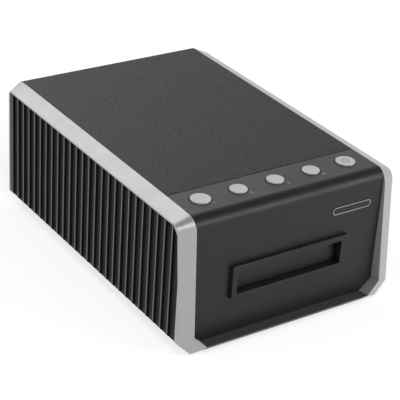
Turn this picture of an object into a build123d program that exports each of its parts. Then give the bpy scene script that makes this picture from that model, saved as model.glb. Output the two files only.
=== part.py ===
from build123d import *
import math
import os

# Motor-fed film negative scanner, in millimetres. +X is right seen from the front, +Y is the rear, +Z is up.
# The origin is under the middle of the case, on the plane of the feet.

# ---- case, outside sizes
case_width = 180.0
case_depth = 259.0
case_height = 103.0
foot_height = 2.0
lip_height = 5.0             # edge of the front lip, above the underside of the case
skin = 2.5                   # moulded wall of the covers, the bezel and the tray
fit_gap = 0.15               # between fixed pieces that lie side by side
run_gap = 0.05               # radial room of a shaft in its bearing
move_gap = 0.4               # round a piece that moves past another

# ---- side frames: a bevelled band over the top edge and down the front and rear corners
band_width = 11.5
band_drop = 4.9
post_setback = 5.2
front_lean = 8.2             # the front corner leans out by this much from the top to the front lip
front_corner_radius = 11.0
rear_corner_radius = 6.0
corner_radius_step = 4.0     # the outer edge of the band turns tighter than the inner edge by this much
post_depth = 21.5
rear_post_depth = 9.5
rail_height = 9.0
ledge_height = 3.0
ledge_width = 3.0
side_chamfer = 10.2          # slope under each side, up from the underside
lip_of_rail = 1.0
edge_round = 0.4             # small rounding where the band meets the outer side
seam_round = 0.3             # and along the seam of the covers

# ---- front opening of the frames, round the bezel
bezel_recess = 9.5           # bezel face behind the foot of the frame
flare = 1.2                  # the inner walls open out by this much from the bezel to the front edge
knee_height = 7.6            # corner slope of the opening at the bezel, above the front lip
front_knee = 10.8            # the same slope at the front edge of the frame
knee_run = 9.8
lip_edge = 0.8               # the lip is higher by this much at its front edge
under_edge = 0.5             # straight part of the lip's front, above the bevel under it
bezel_roll = 7.5

# ---- side panels and their fins
panel_thickness = 2.0
panel_depth_in = 4.5         # back of the panel, in from the frame's outer edge
fin_proud = 1.6
fin_thickness = 1.2
fin_pitch = 9.13
fin_first = 9.45             # first fin, in front of the rear edge of the case
panel_knee = 57.0
panel_corner = 5.0

# ---- control strip and buttons
strip_depth = 29.7
seam = 0.5
button_count = 5
end_button_inset = 17.5      # centre of the outermost buttons, in from the end of the strip
button_line = 15.0           # centre line of the buttons, behind the front edge of the strip
large_cap_radius = 7.1
small_cap_radius = 6.3
button_proud = 1.2
button_travel = 1.0
flange_width = 1.0
flange_thickness = 1.2
guide_wall = 1.0
guide_depth = 4.0

# ---- film slot, dust flaps and the way through
slot_margin = 46.0           # from the side of the case to the slot
slot_height = 18.0
slot_bottom = 38.5
surround_side = 4.6          # raised surround of the slot
surround_top = 4.5
surround_low = 3.1
surround_proud = 3.2
surround_round = 0.35
surround_slope = 0.3         # its outer walls lean in by this much towards the front
flap_depth = 2.8             # flap face behind the bezel face
flap_pin_setback = 2.0       # pin behind the flap face
flap_thickness = 1.6
flap_side_gap = 1.0
flap_foot_gap = 0.6
flap_pin_radius = 1.0
flap_barrel = 1.7
flap_pin_rise = 2.7          # pin above the top of the slot
throat_behind = 4.4          # back of the front throat behind the pin
rear_barrel_room = 3.7
rear_collar = 2.8            # front of the rear panel's collar, in front of its pin
rear_tube = 10.4             # from the film bed to that collar
rear_pin_radius = 0.8
rear_pin_depth = 1.8         # rear pin in front of the rear face

# ---- film bed
bed_inset = 0.7              # walls of the bed, in from the sides of the slot
bed_wall = 3.0
bed_floor = 2.5
bed_level = 41.0             # running face of the film holder
holder_height = 12.0
bed_wall_over = 1.0
bed_skirt = 25.0             # lower edge of the side walls
leg_length = 12.0
leg_foot = 7.7
leg_foot_thickness = 2.5
leg_inset = 4.5
ramp_length = 6.4            # the bed's front end slopes down, to lead the holder in under the open flap
ramp_drop = 1.9
window_inset = 17.3          # end of the window, in from the wall of the bed
window_length = 12.0
window_lip = 2.0
glass_thickness = 1.5

# ---- drive
shaft_spread = 45.0          # each drive shaft, in front of and behind the window
shaft_radius = 2.5
shaft_drop = 7.0             # shaft centre below the running face
roller_proud = 0.3
roller_inset = 5.3           # middle of a roller, in from the wall of the bed
roller_width = 8.0
bush_radius = 4.0
bush_flange = 5.5
bush_flange_thickness = 1.0
gear_module = 1.0
drive_teeth = 24
idler_teeth = 22
pinion_teeth = 16
gear_width = 5.0
backlash = 0.16
gear_clear = 3.0             # gears, out from the film bed's wall
plate_thickness = 1.5
plate_gap = 2.2              # between the gears and their plate
plate_top = 53.0
plate_front_run = 32.0       # front end of the plate, in front of the first idler
plate_rear_run = 3.0         # rear end of the plate, behind the motor
plate_foot_width = 14.0
plate_foot_length = 12.0
stud_radius = 2.0
motor_radius = 17.5
motor_room = 4.85            # from the end of the motor to the wall of the tray
motor_boss = 4.5
motor_shaft_radius = 1.0

# ---- pinch rollers
bridge_thickness = 2.0
pinch_radius = 6.5
pinch_shaft_radius = 2.0
arm_reach = 17.0             # from its pivot pin to the roller
arm_inset = 12.3             # side of the arm, in from the wall of the bed
arm_sheet = 1.5
pivot_rise = 5.2             # pivot pin above the bridge
pivot_radius = 1.5
ear_inset = 19.3
arm_room = 0.6               # between the top of a pivot ear and the arm's sheet
ear_over = 2.1               # ear above the centre of its pin

# ---- lamp and optics
lamp_inset = 14.3            # side of the lamp housing, in from the side of the bed
lamp_half_length = 16.0
lamp_height = 25.0
lamp_wall = 2.0
diffuser_thickness = 2.0
board_thickness = 1.6
tub_inset = 16.3
tub_wall = 2.5
chimney_half = 14.0
tunnel_end = 100.0
tunnel_height = 19.5
mirror_thickness = 2.0
lens_place = 55.0
barrel_radius = 6.0
barrel_length = 20.0
barrel_wall = 1.0
lens_rim = 1.2
sensor_inset = 12.0          # end of the sensor, in from the side of the tub
sensor_height = 8.0
sensor_board_height = 15.0
sensor_thickness = 3.0

# ---- boards, sockets and fasteners
board_gap = 2.7              # from the film bed to the main board
board_side_room = 2.85       # from the wall of the tray to the wide end of the board
neck_inset = 16.35           # from the wall of the tray to the narrow part of the board
main_board_front = -40.0
board_rear_room = 10.0       # from the rear panel to the board
neck_length = 11.5
large_chip = 14.0
middle_chip = 12.0
small_chip = 10.0
small_chip_width = 8.0
chip_height = 1.3
plug_width = 12.0
plug_depth = 4.0
capacitor_radius = 3.2
capacitor_height = 11.0
standoff_height = 5.5
standoff_radius = 3.0
screw_radius = 1.25
screw_head_radius = 2.7
screw_head_height = 1.8
socket_gap = 0.2
usb_width = 12.0
usb_height = 10.8
usb_length = 16.4
usb_out = 9.8                # centre of the data socket, out from the throat
jack_width = 9.0
jack_height = 11.0
jack_length = 14.0
jack_inset = 12.85           # centre of the power jack, in from the wall of the tray
jack_bore = 3.15
jack_pin = 1.0
jack_depth = 9.5
socket_proud = 0.4
button_board_depth = 19.0
button_board_drop = 9.0
switch_size = 6.0
switch_height = 3.5
plunger_radius = 1.75
pillar_radius = 3.8
pillar_inset = 19.0          # case screw, in from the side of the case
pillar_seam_room = 6.8       # front case screw, behind the seam
pillar_rear_inset = 29.5     # rear case screw, in front of the rear face
case_screw_radius = 1.5
case_screw_head = 3.0
case_screw_length = 10.0
foot_radius = 9.0
foot_side_inset = 36.0
foot_rear_inset = 17.5
foot_seat = 1.0
tray_wall_top = 73.0
cable_width = 12.0
cable_thickness = 0.5

# ---- places worked out from the sizes above
half_width = case_width / 2
inner_half = half_width - band_width
front_y = -case_depth / 2
rear_y = case_depth / 2
base_z = foot_height
lip_z = base_z + lip_height
top_z = case_height
floor_z = base_z + skin
cover_z = top_z - skin
bezel_y = front_y + bezel_recess
bezel_back = bezel_y + skin
strip_front = bezel_y + bezel_roll
seam_y = strip_front + strip_depth
post_back = front_y + post_depth
rear_post = rear_y - rear_post_depth
rear_panel_y = rear_y - skin
slope_foot = half_width - side_chamfer
panel_back = half_width - panel_depth_in
panel_foot = base_z + side_chamfer - panel_depth_in
tray_half = panel_back - fit_gap
tray_inner = tray_half - skin
gusset_front = inner_half + flare - knee_run
gusset_back = inner_half - knee_run

slot_width = case_width - 2 * slot_margin
slot_half = slot_width / 2
slot_top = slot_bottom + slot_height
flap_y = bezel_y + flap_depth
flap_pin_y = flap_y + flap_pin_setback
flap_pin_z = slot_top + flap_pin_rise
rear_pin_y = rear_panel_y - rear_pin_depth
rear_pin_z = slot_top + flap_barrel
rear_slot_top = slot_top + rear_barrel_room
throat_half = slot_half + skin
throat_back = flap_pin_y + throat_behind
rear_throat = rear_pin_y - rear_collar

bed_inner = slot_width - 2 * bed_inset
bed_half = bed_inner / 2 + bed_wall
bed_front = throat_back + fit_gap
bed_rear = rear_throat - rear_tube
bed_bottom = bed_level - bed_floor
bed_top = bed_level + holder_height + bed_wall_over
bridge_top = bed_top + bridge_thickness
window_width = bed_inner - 2 * window_inset
roller_place = bed_inner / 2 - roller_inset
arm_half_width = bed_inner / 2 - arm_inset
pivot_ear = bed_inner / 2 - ear_inset
lamp_half_width = bed_half - lamp_inset
tub_half_width = bed_half - tub_inset
sensor_width = 2 * (tub_half_width - sensor_inset)
tunnel_top = floor_z + tunnel_height

shaft_z = bed_level - shaft_drop
gear_right = -bed_half - gear_clear
gear_left = gear_right - gear_width
plate_right = gear_left - plate_gap
plate_left = plate_right - plate_thickness
motor_length = tray_inner + plate_left - motor_room
pinion_y = shaft_spread + gear_module * (drive_teeth + pinion_teeth) / 2
pinch_z = bed_level + holder_height + pinch_radius
pivot_y = shaft_spread + arm_reach
pivot_z = bridge_top + pivot_rise

button_pitch = 2 * (inner_half - end_button_inset) / (button_count - 1)
strip_line = strip_front + button_line
button_board_z = cover_z - button_board_drop
board_z = floor_z + standoff_height
main_board_left = bed_half + board_gap
main_board_wide = tray_inner - board_side_room
main_board_right = tray_inner - neck_inset
main_board_rear = rear_panel_y - board_rear_room
main_board_neck = main_board_rear - neck_length
usb_centre = throat_half + usb_out
jack_centre = tray_inner - jack_inset
pillar_place = half_width - pillar_inset
pillar_front = seam_y + pillar_seam_room
pillar_rear = rear_y - pillar_rear_inset
foot_place_x = half_width - foot_side_inset
foot_place_y = rear_y - foot_rear_inset


# ---------------------------------------------------------------- drawing helpers
def block(x, y, z):
    """Box between a low and a high place on each axis."""
    centre = Pos((x[0] + x[1]) / 2, (y[0] + y[1]) / 2, (z[0] + z[1]) / 2)
    return centre * Box(x[1] - x[0], y[1] - y[0], z[1] - z[0])


def section_plane(along, low, high):
    """Plane square to an axis, from which a positive pull covers low to high."""
    if along == "x":
        return Plane((low, 0, 0), x_dir=(0, 1, 0), z_dir=(1, 0, 0))
    if along == "y":
        return Plane((0, high, 0), x_dir=(1, 0, 0), z_dir=(0, -1, 0))
    return Plane((0, 0, low), x_dir=(1, 0, 0), z_dir=(0, 0, 1))


def prism(points, along, low, high):
    """Closed outline drawn out along an axis; the points give the other two axes in order."""
    face = make_face(Polyline(*points, close=True))
    return extrude(section_plane(along, low, high) * face, amount=high - low)


def rod(along, radius, low, high, a, b):
    """Round bar along an axis; a and b place its centre on the other two axes in order."""
    face = Pos(a, b) * Circle(radius)
    return extrude(section_plane(along, low, high) * face, amount=high - low)


def both_sides(shape):
    """The shape and its mirror image across the middle of the case."""
    return shape + mirror(shape, about=Plane.YZ)


def left_of(shape):
    """Mirror image on the left side of the case."""
    return mirror(shape, about=Plane.YZ)


def joined(shapes):
    """Several shapes as one."""
    total = shapes[0]
    for shape in shapes[1:]:
        total = total + shape
    return total


# ---------------------------------------------------------------- outlines that several pieces share
def front_edge(z):
    """Front edge of the side frame at a height above the lip."""
    return front_y + front_lean * max(0.0, z - lip_z) / (top_z - lip_z)


def gusset_edge(y):
    """Half width of the dark front lip between the two frames at a depth."""
    reach = (bezel_y - y) / (bezel_y - front_y + lip_edge)
    return gusset_back + (gusset_front - gusset_back) * reach


def mouth_outline(grow, spread, rise, knee):
    """Outline of the opening for the bezel, seen from the front."""
    side = inner_half + spread + grow
    foot = side - knee_run
    knee_z = lip_z + knee - grow
    foot_z = lip_z + rise - grow
    over = top_z + skin
    return [(-side, over), (-side, knee_z), (-foot, foot_z), (foot, foot_z), (side, knee_z), (side, over)]


def outline_face(points, y):
    """Outline seen from the front, as a face at one depth."""
    plane = Plane((0, y, 0), x_dir=(1, 0, 0), z_dir=(0, -1, 0))
    return plane * make_face(Polyline(*points, close=True))


def front_mouth(grow):
    """Space in front of and behind the bezel face, flared towards the front edge."""
    out_y = front_y - lip_edge
    flared = loft([outline_face(mouth_outline(grow, flare, lip_edge, front_knee), out_y),
                   outline_face(mouth_outline(grow, 0, 0, knee_height), bezel_y)], ruled=True)
    straight = prism(mouth_outline(grow, 0, 0, knee_height), "y", bezel_y, post_back + skin)
    return flared + straight


def rear_outline(grow):
    """Outline of the rear opening between the frames."""
    side = inner_half + grow
    foot = gusset_back + grow
    knee_z = floor_z + knee_run - grow
    foot_z = floor_z - grow
    over = top_z + skin
    return [(-side, over), (-side, knee_z), (-foot, foot_z), (foot, foot_z), (side, knee_z), (side, over)]


def band_face(x, drop, setback, tighter):
    """Outline of a side frame seen from the side, with its two rounded top corners."""
    points = [(rear_y - setback, base_z), (rear_y - setback, top_z - drop),
              (front_edge(top_z) + setback, top_z - drop), (front_y + setback, lip_z), (front_y + setback, base_z)]
    face = make_face(Polyline(*points, close=True))
    rear_corner = face.vertices().sort_by(Axis.Y)[-2:].sort_by(Axis.X)[-1]
    face = fillet(rear_corner, rear_corner_radius - tighter / 2)
    front_corner = face.vertices().group_by(Axis.Y)[-1].sort_by(Axis.X)[0]
    face = fillet(front_corner, front_corner_radius - tighter)
    return Plane((x, 0, 0), x_dir=(0, 1, 0), z_dir=(1, 0, 0)) * face


def panel_outline(grow):
    """Outline of a side panel seen from the side: it follows the leaning post, then drops straight."""
    top = top_z - band_drop - lip_of_rail + grow
    rear = rear_y - post_setback - lip_of_rail * 2 + grow
    lean_top = front_edge(top) + post_setback + lip_of_rail - grow
    lean_low = front_edge(panel_knee) + post_setback + lip_of_rail - grow
    return [(rear, panel_foot), (rear, top), (lean_top + panel_corner, top), (lean_top, top - panel_corner),
            (lean_low, panel_knee), (lean_low, panel_foot)]


def side_slope():
    """Space under the slope along the right side of the underside."""
    points = [(slope_foot - 1, base_z - 1), (half_width + 1, base_z - 1), (half_width + 1, base_z + side_chamfer + 1)]
    return prism(points, "y", front_y - 1, rear_y + 1)


def under_bevel():
    """Space in front of the bevel that runs along the underside of the front lip."""
    high = lip_z + under_edge
    slope = (high - base_z) / post_setback
    points = [(front_y - 2, high + 2 * slope), (front_y + post_setback + 2, base_z - 2 * slope),
              (front_y - 2, base_z - 2 * slope)]
    return prism(points, "x", -half_width - 1, half_width + 1)


def corner_bevel():
    """Space in front of the facet where the band turns under the lower front corner on the right."""
    turn_z = base_z + side_chamfer
    inner_top = Vector(inner_half + flare, front_edge(lip_z + front_knee), lip_z + front_knee)
    inner_low = Vector(gusset_front, front_y, lip_z + lip_edge)
    outer_top = Vector(half_width, front_edge(turn_z) + post_setback, turn_z)
    along = inner_low - inner_top
    facet = Plane(origin=inner_top, x_dir=along, z_dir=along.cross(outer_top - inner_top))
    reach = 3 * front_knee
    return facet * Pos(0, 0, reach / 2) * Box(2 * reach, 2 * reach, reach)


# ---------------------------------------------------------------- case
def outer_turn(frame):
    """Edges where the band turns into the outer side of the frame."""
    edges = []
    for edge in frame.edges():
        middle = edge @ 0.5
        on_side = abs(middle.X - half_width) < 0.01
        at_turn = (middle.Z > top_z - band_drop - 0.1 or middle.Y > rear_y - post_setback - 0.1
                   or middle.Y < front_edge(middle.Z) + post_setback + 0.5)
        if on_side and (at_turn or edge.geom_type == GeomType.CIRCLE):
            edges.append(edge)
    return edges


def inner_turn(frame):
    """Long edge where the band meets the inner wall of the front recess."""
    edges = []
    for edge in frame.edges():
        middle = edge @ 0.5
        at_front = abs(middle.Y - front_edge(middle.Z)) < post_setback / 8
        if at_front and inner_half < middle.X < inner_half + flare and edge.length > half_width / 2:
            edges.append(edge)
    return edges


def side_frame():
    """Right-hand frame: bevelled band, inner walls of the front recess and a ledge for the covers."""
    band = loft([band_face(inner_half, 0, 0, 0),
                 band_face(half_width, band_drop, post_setback, corner_radius_step)], ruled=True)
    inner = extrude(band_face(gusset_back, 0, 0, 0), amount=inner_half - gusset_back)
    frame = band + inner - front_mouth(fit_gap)
    frame = frame - prism(rear_outline(fit_gap), "y", rear_post - 1, rear_y + 1)
    under = (post_back, rear_post)
    frame = frame - block((0, panel_back), under, (0, top_z - rail_height))
    frame = frame - block((0, inner_half), under, (cover_z, top_z + 1))
    frame = frame - block((0, inner_half), under, (0, cover_z - ledge_height))
    frame = frame - block((0, inner_half - ledge_width), under, (0, top_z + 1))
    frame = frame - prism(panel_outline(fit_gap), "x", panel_back, half_width + 1)
    frame = frame - side_slope() - under_bevel() - corner_bevel()
    frame = fillet(outer_turn(frame) + inner_turn(frame), edge_round)
    lip_side = [(gusset_back - 5, front_y - 1), (gusset_edge(front_y - 1), front_y - 1), (gusset_back, bezel_y),
                (gusset_back - 5, bezel_y)]
    return frame - prism(lip_side, "z", base_z - 1, lip_z + front_knee)


def fin_panel():
    """Right-hand side panel with upright fins, cut off along the slope under the side."""
    panel = prism(panel_outline(0), "x", panel_back, panel_back + panel_thickness)
    fin_face = panel_back + panel_thickness
    top = top_z - band_drop - lip_of_rail
    front = front_edge(top) + post_setback + lip_of_rail + fin_thickness
    count = int((rear_y - fin_first - front) / fin_pitch) + 1
    for index in range(count):
        y = rear_y - fin_first - index * fin_pitch
        corner_drop = max(0.0, panel_corner + front_edge(top) + post_setback + lip_of_rail - y + fin_thickness)
        panel = panel + block((fin_face - 0.5, fin_face + fin_proud),
                              (y - fin_thickness / 2, y + fin_thickness / 2), (panel_foot, top - corner_drop))
    return panel - side_slope()


def foot_places():
    return [(x, y) for x in (-foot_place_x, foot_place_x) for y in (-foot_place_y, foot_place_y)]


def pillar_places():
    return [(x, y) for x in (-pillar_place, pillar_place) for y in (pillar_front, pillar_rear)]


def standoff_places():
    inset = standoff_radius + 0.5
    left = main_board_left + inset
    right = main_board_right - inset
    return [(left, main_board_front + 3 * inset), (right, main_board_front + inset),
            (left, main_board_neck - 4 * inset), (right, main_board_neck - 4 * inset)]


def leg_places():
    front = bed_front + leg_inset
    rear = bed_rear - leg_inset
    return [(front, front + leg_length), (rear - leg_length, rear)]


def leg_screw_places():
    """One screw through each foot of the film bed."""
    across = bed_half + leg_foot / 2
    return [(x, (low + high) / 2) for low, high in leg_places() for x in (-across, across)]


def base_tray():
    """Bottom shell: floor with a sloping front lip, side walls, stand-offs and screw wells."""
    gap = fit_gap
    ends = [(0, front_y), (gusset_edge(front_y) - gap, front_y), (gusset_back - gap, bezel_y),
            (gusset_back - gap, rear_y), (0, rear_y)]
    right = prism(ends, "z", base_z, floor_z)
    lip = prism(ends, "z", base_z, lip_z + lip_edge + 1) & block((0, half_width), (front_y, bezel_back), (0, top_z))
    turn = skin * (math.sqrt(2) - 1)
    section = [(0, base_z), (slope_foot, base_z), (tray_half, base_z + tray_half - slope_foot),
               (tray_half, tray_wall_top), (tray_inner, tray_wall_top),
               (tray_inner, base_z + tray_half - slope_foot + turn), (slope_foot - turn, floor_z), (0, floor_z)]
    right = right + lip + prism(section, "y", post_back + gap, rear_post - gap)
    tray = right + left_of(right)
    tray = tray - front_mouth(0) - under_bevel()
    for x, y in standoff_places():
        tray = tray + rod("z", standoff_radius, floor_z - 0.5, board_z, x, y)
        tray = tray - rod("z", screw_radius, floor_z, board_z + 1, x, y)
    for x, y in pillar_places():
        tray = tray + rod("z", pillar_radius + 1.5, floor_z - 0.5, floor_z + 3, x, y)
        tray = tray - rod("z", case_screw_head + 0.3, base_z - 1, base_z + 3, x, y)
        tray = tray - rod("z", case_screw_radius + 0.1, base_z, floor_z + 4, x, y)
    for x, y in leg_screw_places():
        tray = tray - rod("z", screw_radius, base_z + 0.8, floor_z + 1, x, y)
    for x, y in foot_places():
        tray = tray - rod("z", foot_radius, base_z - 1, base_z + foot_seat, x, y)
    return tray


def top_cover():
    """Fixed top cover with a turned-down rear edge and four screw pillars."""
    front = seam_y + seam / 2
    lip = top_z - 12.0
    points = [(front, cover_z), (front, top_z), (rear_y, top_z), (rear_y, lip), (rear_panel_y, lip),
              (rear_panel_y, cover_z)]
    face = make_face(Polyline(*points, close=True))
    outer = face.vertices().sort_by(Axis.X)[-2:].sort_by(Axis.Y)[-1]
    face = fillet(outer, rear_corner_radius)
    inner = face.vertices().sort_by_distance((rear_panel_y, cover_z))[0]
    face = fillet(inner, rear_corner_radius - skin)
    face = fillet(face.vertices().sort_by_distance((front, top_z))[0], seam_round)
    side = inner_half - fit_gap
    cover = extrude(Plane((-side, 0, 0), x_dir=(0, 1, 0), z_dir=(1, 0, 0)) * face, amount=2 * side)
    for x, y in pillar_places():
        cover = cover + rod("z", pillar_radius, floor_z + 3, cover_z + 0.5, x, y)
        cover = cover - rod("z", case_screw_radius, floor_z, base_z + 3 + case_screw_length, x, y)
    for y in (pillar_front + 55, pillar_rear - 60):
        cover = cover + block((-pillar_place, pillar_place), (y, y + 1.5), (cover_z - 3, cover_z + 0.5))
    return cover


def button_places():
    """Centre of each button across the strip, with its cap radius: the two end ones are larger."""
    middle = (button_count - 1) / 2
    places = []
    for index in range(button_count):
        cap = large_cap_radius if index in (0, button_count - 1) else small_cap_radius
        places.append(((index - middle) * button_pitch, cap))
    return places


def board_boss_places():
    """Bosses between neighbouring buttons that carry the button board."""
    return [(index + 0.5) * button_pitch for index in (-2, -1, 0, 1)]


def control_strip():
    """Strip in front of the top cover, with a hole and a guide ring for each button."""
    side = inner_half - fit_gap
    strip = block((-side, side), (strip_front + fit_gap, seam_y - seam / 2), (cover_z, top_z))
    strip = fillet(strip.edges().filter_by(Axis.X).group_by(Axis.Z)[-1].sort_by(Axis.Y)[-1], seam_round)
    for x, cap in button_places():
        guide = cap + flange_width + move_gap
        ring = rod("z", guide + guide_wall, cover_z - guide_depth, cover_z + 0.5, x, strip_line)
        strip = strip + (ring - rod("z", guide, cover_z - guide_depth - 1, cover_z, x, strip_line))
        strip = strip - rod("z", cap + move_gap, cover_z - 1, top_z + 1, x, strip_line)
    for x in board_boss_places():
        strip = strip + rod("z", 2.5, button_board_z + board_thickness, cover_z + 0.5, x, strip_line)
        strip = strip - rod("z", screw_radius, button_board_z, cover_z - 2, x, strip_line)
    return strip


def button(x, cap):
    """Push button: dished cap, retaining flange under the strip and a short stem."""
    flange_z = cover_z - flange_thickness
    key = rod("z", cap, flange_z, top_z + button_proud, x, strip_line)
    key = fillet(key.edges().group_by(Axis.Z)[-1], 0.5)
    dish = 14 * cap
    key = key - Pos(x, strip_line, top_z + button_proud - 0.25 + dish) * Sphere(dish)
    key = key + rod("z", cap + flange_width, flange_z, cover_z, x, strip_line)
    stem_bottom = button_board_z + board_thickness + switch_height + 1.0 + button_travel + 0.1
    return key + rod("z", plunger_radius + 0.5, stem_bottom, flange_z + 0.5, x, strip_line)


def surround_outline(inset):
    """Outline of the raised surround of the film slot, seen from the front."""
    side = slot_half + surround_side - inset
    low = slot_bottom - surround_low + inset
    high = slot_top + surround_top - inset
    return [(-side, low), (side, low), (side, high), (-side, high)]


def front_bezel():
    """Front panel: rolled top edge, sloped lower corners and the raised surround of the film slot."""
    points = [(bezel_y, lip_z), (bezel_y, top_z), (strip_front, top_z), (strip_front, cover_z),
              (bezel_back, cover_z), (bezel_back, lip_z)]
    face = make_face(Polyline(*points, close=True))
    face = fillet(face.vertices().sort_by_distance((bezel_y, top_z))[0], bezel_roll - 0.01)
    face = fillet(face.vertices().sort_by_distance((bezel_back, cover_z))[0], bezel_roll - skin - 0.01)
    plate = extrude(Plane((-half_width, 0, 0), x_dir=(0, 1, 0), z_dir=(1, 0, 0)) * face, amount=case_width)
    plate = plate & prism(mouth_outline(0, 0, 0, knee_height), "y", bezel_y - 1, strip_front + 1)
    proud_y = bezel_y - surround_proud
    raised = loft([outline_face(surround_outline(surround_slope), proud_y),
                   outline_face(surround_outline(0), bezel_y)], ruled=True)
    plate = plate + raised + prism(surround_outline(0), "y", bezel_y, bezel_back)
    plate = plate - block((-slot_half, slot_half), (proud_y - 1, bezel_back + 1), (slot_bottom, slot_top))
    plate = fillet(plate.edges().group_by(Axis.Y)[0], surround_round)
    room = flap_pin_y - flap_pin_setback - move_gap
    return plate - block((-slot_half - 0.5, slot_half + 0.5), (room, bezel_back + 1),
                         (slot_bottom, flap_pin_z + flap_barrel + move_gap))


def rear_panel():
    """Rear panel: exit slot with a collar for the flap's pin, and cut-outs for the two sockets."""
    outline = rear_outline(0)
    plate = prism(outline, "y", rear_panel_y - skin, rear_panel_y)
    panel_top = cover_z - rear_corner_radius + skin
    plate = plate & block((-inner_half + fit_gap, inner_half - fit_gap), (0, rear_y), (floor_z, panel_top))
    collar = (rear_throat + fit_gap, rear_panel_y - skin + 0.5)
    plate = plate + block((-throat_half, throat_half), collar, (slot_bottom - skin, rear_slot_top + skin))
    through = (rear_throat - 1, rear_y)
    plate = plate - block((-slot_half, slot_half), through, (slot_bottom, rear_slot_top))
    plate = plate - rod("x", rear_pin_radius, -slot_half - skin + 0.4, slot_half + skin - 0.4,
                        rear_pin_y, rear_pin_z)
    usb_half = usb_width / 2 + socket_gap
    socket_z = board_z + board_thickness
    plate = plate - block((usb_centre - usb_half, usb_centre + usb_half), through,
                          (socket_z - socket_gap, socket_z + usb_height + socket_gap))
    jack_half = jack_width / 2 + socket_gap
    return plate - block((jack_centre - jack_half, jack_centre + jack_half), through,
                         (socket_z - socket_gap, socket_z + jack_height + socket_gap))


def rubber_feet():
    feet = []
    for x, y in foot_places():
        foot = rod("z", foot_radius - fit_gap, 0, base_z + foot_seat, x, y)
        feet.append(chamfer(foot.edges().group_by(Axis.Z)[0], 0.8))
    return joined(feet)


def screw(head_radius, head_height, shank_radius, length, x, y, z, up):
    """Pan-head screw; z is the seat of its head, and its shank points up or down."""
    if up:
        return rod("z", head_radius, z - head_height, z, x, y) + rod("z", shank_radius, z, z + length, x, y)
    return rod("z", head_radius, z, z + head_height, x, y) + rod("z", shank_radius, z - length, z, x, y)


def case_screws():
    """Four screws up through the tray into the pillars of the top cover."""
    return joined([screw(case_screw_head, 2.0, case_screw_radius - run_gap, case_screw_length, x, y, base_z + 3, True)
                   for x, y in pillar_places()])


def chassis_screws():
    """Small screws of the film bed's legs, the main board and the button board."""
    shank = screw_radius - run_gap
    size = (screw_head_radius, screw_head_height, shank)
    screws = []
    for x, y in leg_screw_places():
        screws.append(screw(*size, 4.0, x, y, floor_z + leg_foot_thickness, False))
    for x, y in standoff_places():
        screws.append(screw(*size, 5.5, x, y, board_z + board_thickness, False))
    for x in board_boss_places():
        screws.append(screw(*size, 6.0, x, strip_line, button_board_z, True))
    return joined(screws)


# ---------------------------------------------------------------- film way
def front_throat():
    """Deep mouth behind the bezel: the walls of the slot, and the pocket in which the flap swings."""
    front = bezel_back + fit_gap
    outer = block((-throat_half, throat_half), (front, throat_back), (slot_bottom - skin, flap_pin_z + 5))
    throat = outer - block((-slot_half, slot_half), (front - 1, throat_back + 1), (slot_bottom, slot_top))
    throat = throat - block((-slot_half - 0.5, slot_half + 0.5), (front - 1, throat_back + 1),
                            (slot_bottom, flap_pin_z + flap_barrel + move_gap))
    return throat - rod("x", flap_pin_radius, -throat_half - 1, throat_half + 1, flap_pin_y, flap_pin_z)


def flap_leaf(half, low, pin_y, pin_z, face_y, pin_radius):
    """Dust flap that hangs from a pin: a thin leaf with a barrel along its top."""
    leaf = block((-half, half), (face_y, face_y + flap_thickness), (low, pin_z))
    leaf = chamfer(leaf.edges().filter_by(Axis.X).group_by(Axis.Z)[0], 0.3)
    leaf = leaf + rod("x", flap_barrel, -half, half, pin_y, pin_z)
    return leaf - rod("x", pin_radius + run_gap, -half - 1, half + 1, pin_y, pin_z)


def front_flap():
    return flap_leaf(slot_half - flap_side_gap, slot_bottom + flap_foot_gap, flap_pin_y, flap_pin_z, flap_y,
                     flap_pin_radius)


def front_flap_pin():
    return rod("x", flap_pin_radius, -throat_half + 0.1, throat_half - 0.1, flap_pin_y, flap_pin_z)


def rear_throat_tube():
    """Short tube from the film bed to the exit slot."""
    outer = block((-throat_half, throat_half), (bed_rear + fit_gap, rear_throat),
                  (slot_bottom - skin, rear_slot_top + skin))
    return outer - block((-slot_half, slot_half), (bed_rear - 1, rear_throat + 1), (slot_bottom, rear_slot_top))


def rear_flap():
    return flap_leaf(slot_half - flap_foot_gap, slot_bottom + flap_foot_gap, rear_pin_y, rear_pin_z,
                     rear_pin_y - flap_thickness / 2, rear_pin_radius)


def rear_flap_pin():
    return rod("x", rear_pin_radius, -slot_half - skin + 0.4, slot_half + skin - 0.4, rear_pin_y, rear_pin_z)


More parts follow.
